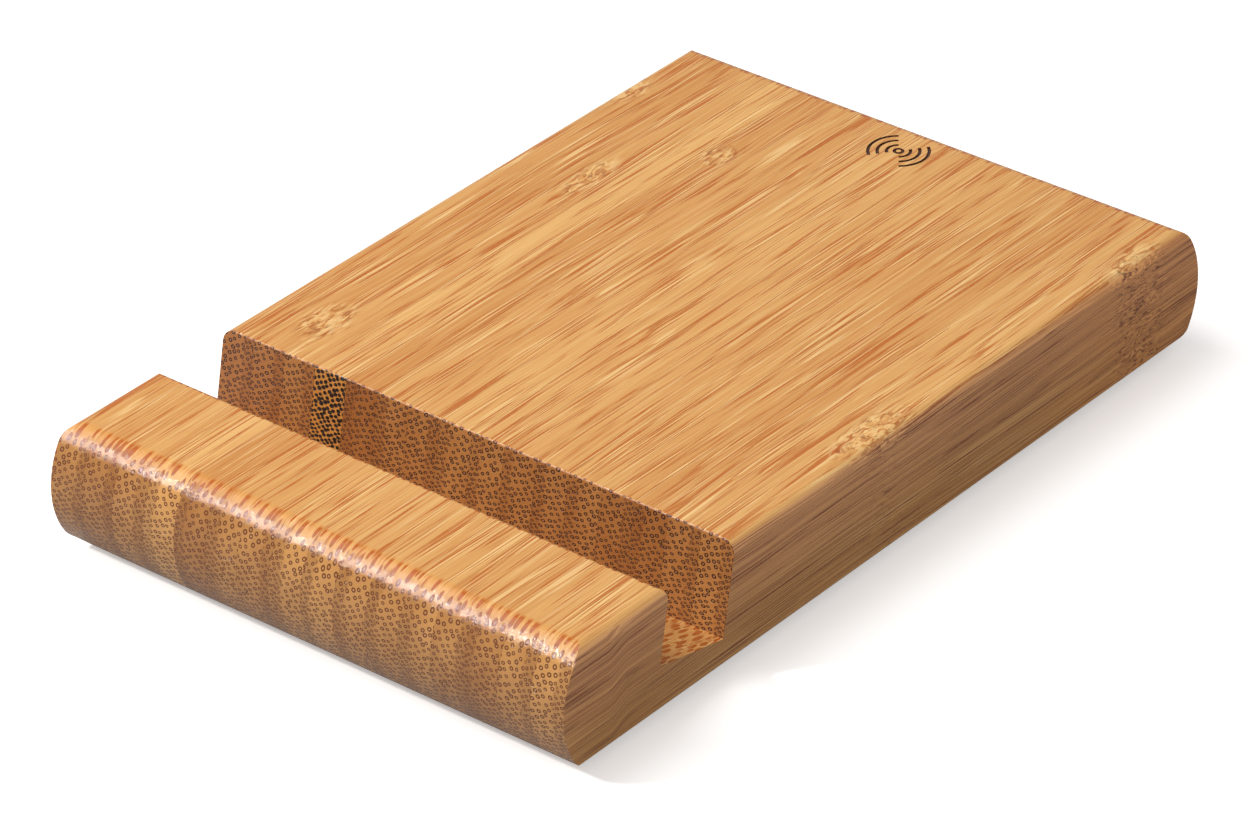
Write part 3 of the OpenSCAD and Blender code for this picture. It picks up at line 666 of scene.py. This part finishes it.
# %% Drawn metal group
line_group, b, given, wanted = new_group(
    "drawn metal",
    [("Vector", "Place", None), ("Vector", "Squeeze", (1500.0, 1500.0, 120.0)),
     ("Color", "Clean", (1, 1, 1, 1)), ("Color", "Tarnish", (0.5, 0.5, 0.5, 1)),
     ("Float", "Roughness", 0.3)],
    [("Color", "Colour", None), ("Float", "Height", None), ("Float", "Roughness", None)])
squeezed = b.add("VectorMath", 0, {0: given["Place"], 1: given["Squeeze"]}, operation="MULTIPLY")
drawn = b.noise(squeezed, 1.0, 2.0)
bloom = b.noise(given["Place"], 420.0, 3.0, 0.6)
put(line_group, b.mix(b.step(bloom, 0.46, 0.75), given["Clean"], given["Tarnish"]),
    wanted["Colour"])
put(line_group, drawn, wanted["Height"])
uneven = b.times(b.sum("ADD", drawn, bloom), 0.12)
put(line_group, b.sum("ADD", given["Roughness"], uneven), wanted["Roughness"])


def drawn_metal(name, clean, tarnish, roughness, squeeze):
    """A metal with lines that run along the axis with the smallest squeeze."""
    material, b, shader, place = new_material(name)
    made = use_group(b, line_group, Place=place, Squeeze=squeeze, Clean=clean, Tarnish=tarnish,
                     Roughness=roughness)
    b.tree.links.new(made["Colour"], shader["Base Color"])
    b.tree.links.new(made["Roughness"], shader["Roughness"])
    b.tree.links.new(b.add("Bump", 0, {"Height": made["Height"], "Strength": 0.3,
                                       "Distance": 0.000005}), shader["Normal"])
    shader["Metallic"].default_value = 1.0
    return material


METALS = {
    ("base_screws", "board_screws"): drawn_metal(
        "plated_screw", rgb(206, 208, 210), rgb(164, 164, 160), 0.24, (2600, 2600, 300)),
    ("usb_shell",): drawn_metal(
        "socket_steel", rgb(216, 217, 218), rgb(182, 180, 176), 0.20, (2600, 180, 2600)),
    ("usb_contacts",): drawn_metal(
        "contact_gold", rgb(236, 200, 120), rgb(206, 160, 84), 0.18, (3000, 400, 3000)),
    ("lead_solder",): drawn_metal(
        "solder", rgb(214, 214, 216), rgb(172, 172, 174), 0.28, (900, 900, 900)),
}
for names, material in METALS.items():
    for name in names:
        finish_node(name, material)
print("metal finishes:", len(METALS))

# %% [markdown]
# ## Coil, board and small parts
# The coil is litz: hundreds of enamelled copper hairs twisted together, so its surface is a rope
# of slanted glints from its relief and roughness. Each strand's crest is also painted brighter as a
# painted glint and the groove between strands darker as painted shade. Polar coordinates round the
# coil's axis give that twist.

# %% Coil copper
STRANDS_ROUND, STRANDS_OUT = 170.0, 9000.0
coil_low, coil_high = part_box("charging_coil")
coil_centre = (coil_low + coil_high) / 2
copper, b, shader, place = new_material("coil_copper")
from_axis = b.split(b.add("VectorMath", 0, {0: place, 1: coil_centre}, operation="SUBTRACT"))
turn = b.sum("ARCTAN2", from_axis[1], from_axis[0])
out = b.sum("SQRT", b.sum("ADD", b.times(from_axis[0], from_axis[0]),
                          b.times(from_axis[1], from_axis[1])))
lay = b.sum("ADD", b.times(turn, STRANDS_ROUND), b.times(out, STRANDS_OUT))
strand = b.sum("MULTIPLY_ADD", b.sum("SINE", lay), 0.5, 0.5)
# painted glint on each strand's crest and painted shade in the grooves between strands
b.tree.links.new(b.mix(strand, rgb(120, 58, 28), rgb(214, 128, 74)), shader["Base Color"])
b.tree.links.new(b.between(strand, 0.48, 0.26), shader["Roughness"])
b.tree.links.new(b.add("Bump", 0, {"Height": strand, "Strength": 0.7, "Distance": 0.00003}),
                 shader["Normal"])
shader["Metallic"].default_value = 0.85
for name in ("charging_coil", "coil_lead_outer", "coil_lead_inner"):
    finish_node(name, copper)
print("coil width in mm:", round(MM * (coil_high.x - coil_low.x), 2))

# %% [markdown]
# The board is a brick pattern seen through green lacquer: the joints between the bricks stand for
# tracks, and they are paler and slightly raised.

# %% Circuit board
board_finish, b, shader, place = new_material("solder_mask")
tracks = b.add("TexBrick", "Fac", {"Vector": place, "Scale": 260.0, "Mortar Size": 0.06,
                                   "Brick Width": 0.9, "Row Height": 0.30})
cloudy = b.noise(place, 300.0, 2.0)
b.tree.links.new(b.mix(tracks, b.mix(cloudy, rgb(22, 84, 44), rgb(30, 100, 54)),
                       rgb(58, 136, 82)), shader["Base Color"])
b.tree.links.new(b.between(cloudy, 0.22, 0.40), shader["Roughness"])
b.tree.links.new(b.add("Bump", 0, {"Height": tracks, "Strength": 0.5, "Distance": 0.00003}),
                 shader["Normal"])
finish_node("circuit_board", board_finish)
print("board finish:", board_finish.name)

# %% [markdown]
# Fired ceramic is half matt and finely speckled. One finish serves both kinds of capacitor and the
# small passive parts.

# %% Ceramic capacitors
ceramic, b, shader, place = new_material("capacitor_ceramic")
speck = b.noise(place, 2600.0, 2.0)
b.tree.links.new(b.mix(speck, rgb(168, 132, 96), rgb(206, 176, 138)), shader["Base Color"])
b.tree.links.new(b.between(speck, 0.40, 0.66), shader["Roughness"])
b.tree.links.new(b.add("Bump", 0, {"Height": speck, "Strength": 0.4, "Distance": 0.00001}),
                 shader["Normal"])
for name in ("resonant_capacitors", "input_capacitors", "small_passives"):
    finish_node(name, ceramic)
unfinished = [name for name, node in nodes.items() if not node.data.materials]
print("nodes without a finish:", unfinished)

# %% [markdown]
# ## Table top
# The floor is plain and pale. A white table would throw so much light up that the lower half of
# the wood would glow, so it is white only where the camera sees it. Light that bounces off it
# meets a middle grey, as it would with a studio's black cards round it. It also glows a little for
# the camera alone, like a light table, so the shadow that the pad throws on it stays faint.

# %% Table top
WHITE, BOUNCE, MIRRORED = (0.98, 0.98, 0.98, 1), (0.30, 0.29, 0.28, 1), (0.50, 0.50, 0.50, 1)
NO_GLOW, GLOW = (0, 0, 0, 1), (0.42, 0.42, 0.42, 1)
table_finish, b, shader, place = new_material("pale_table")
seen, mirrored = b.add("LightPath", "Is Camera Ray"), b.add("LightPath", "Is Glossy Ray")
b.tree.links.new(b.mix(seen, b.mix(mirrored, BOUNCE, MIRRORED), WHITE), shader["Base Color"])
b.tree.links.new(b.mix(seen, NO_GLOW, GLOW), shader["Emission Color"])
shader["Emission Strength"].default_value = 1.0
shader["Roughness"].default_value = 0.9
shader["Specular IOR Level"].default_value = 0.1
floor.data.materials.append(table_finish)
print("table finish:", table_finish.name)
